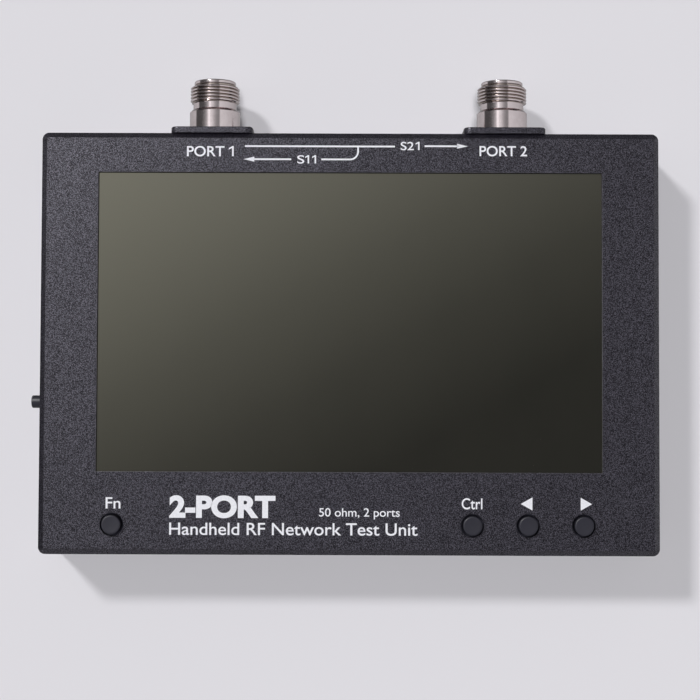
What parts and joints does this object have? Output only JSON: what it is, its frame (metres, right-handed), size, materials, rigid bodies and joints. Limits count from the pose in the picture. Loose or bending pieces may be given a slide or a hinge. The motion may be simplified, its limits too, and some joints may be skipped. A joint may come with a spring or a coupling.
{
  "type": "handheld vector network analyzer",
  "caption": "Flat black bench instrument with a large recessed screen, round push keys below it, a side power button and coaxial ports on its upper edge.",
  "frame": {"origin": "middle of the case's outline, on the plane that the rubber feet rest on", "axes": "+X to the right across the screen, +Y towards the coaxial ports, +Z out of the screen"},
  "size_m": [0.2002, 0.1522, 0.03],
  "materials": {
    "powder_coat": "fine wrinkle black powder coat on aluminium",
    "black_steel": "black oxide steel",
    "foot_rubber": "matte",
    "gasket_foam": "closed-cell foam",
    "cover_glass": "polished, hard coated",
    "panel_black": "unlit polarizer",
    "diffuser_white": "frosted",
    "bare_steel": "tin plated",
    "flex_amber": "polyimide film",
    "connector_ivory": "moulded nylon",
    "board_green": "solder mask",
    "chip_black": "moulded epoxy",
    "brass": "turned",
    "gold_plate": "gold plated",
    "nickel_plate": "turned, bright nickel",
    "insulator_white": "turned fluoropolymer",
    "key_black": "moulded, fine grain",
    "light_pipe_clear": "clear moulding",
    "battery_foil": "laminated pouch foil",
    "lead_red": "insulated wire",
    "legend_ink": "screen-printed ink"
  },
  "bodies": {
    "instrument": {"battery_lead": "lead_red", "battery_pack": "battery_foil", "battery_pads": "gasket_foam", "battery_socket": "connector_ivory", "board_header": "chip_black", "board_screws": "bare_steel", "cover_glass": "cover_glass", "cover_screws": "black_steel", "display_flex": "flex_amber", "display_frame": "bare_steel", "flange_screws": "black_steel", "flex_connector": "connector_ivory", "foam_pads": "gasket_foam", "front_housing": "powder_coat", "lcd_panel": "panel_black", "light_guide": "diffuser_white", "main_board": "board_green", "main_board_chips": "chip_black", "port_1_body": "nickel_plate", "port_1_contact": "gold_plate", "port_1_flange": "powder_coat", "port_1_insulator": "insulator_white", "port_1_nut": "nickel_plate", "port_2_body": "nickel_plate", "port_2_contact": "gold_plate", "port_2_flange": "powder_coat", "port_2_insulator": "insulator_white", "port_2_nut": "nickel_plate", "power_switch": "chip_black", "rear_cover": "powder_coat", "rf_board": "board_green", "rf_board_screws": "bare_steel", "rf_shield_cans": "bare_steel", "rf_standoffs": "brass", "rubber_feet": "foot_rubber", "standoff_nuts": "bare_steel", "status_led": "diffuser_white", "status_light_pipe": "light_pipe_clear", "tact_switches": "chip_black", "usb_c_shell": "bare_steel", "usb_c_tongue": "chip_black", "window_gasket": "gasket_foam"},
    "fn_button": {"fn_key": "key_black", "fn_plunger": "chip_black"},
    "ctrl_button": {"ctrl_key": "key_black", "ctrl_plunger": "chip_black"},
    "left_button": {"left_key": "key_black", "left_plunger": "chip_black"},
    "right_button": {"right_key": "key_black", "right_plunger": "chip_black"},
    "power_button_body": {"power_button": "key_black", "power_plunger": "chip_black"}
  },
  "joints": [
    {"name": "fn_press", "type": "slide", "parent": "instrument", "child": "fn_button", "axis": [0, 0, -1], "range_m": [0, 0.00035], "stiffness_N_per_m": 4500},
    {"name": "ctrl_press", "type": "slide", "parent": "instrument", "child": "ctrl_button", "axis": [0, 0, -1], "range_m": [0, 0.00035], "stiffness_N_per_m": 4500},
    {"name": "left_press", "type": "slide", "parent": "instrument", "child": "left_button", "axis": [0, 0, -1], "range_m": [0, 0.00035], "stiffness_N_per_m": 4500},
    {"name": "right_press", "type": "slide", "parent": "instrument", "child": "right_button", "axis": [0, 0, -1], "range_m": [0, 0.00035], "stiffness_N_per_m": 4500},
    {"name": "power_press", "type": "slide", "parent": "instrument", "child": "power_button_body", "axis": [1, 0, 0], "range_m": [0, 0.0008], "stiffness_N_per_m": 3000}
  ]
}
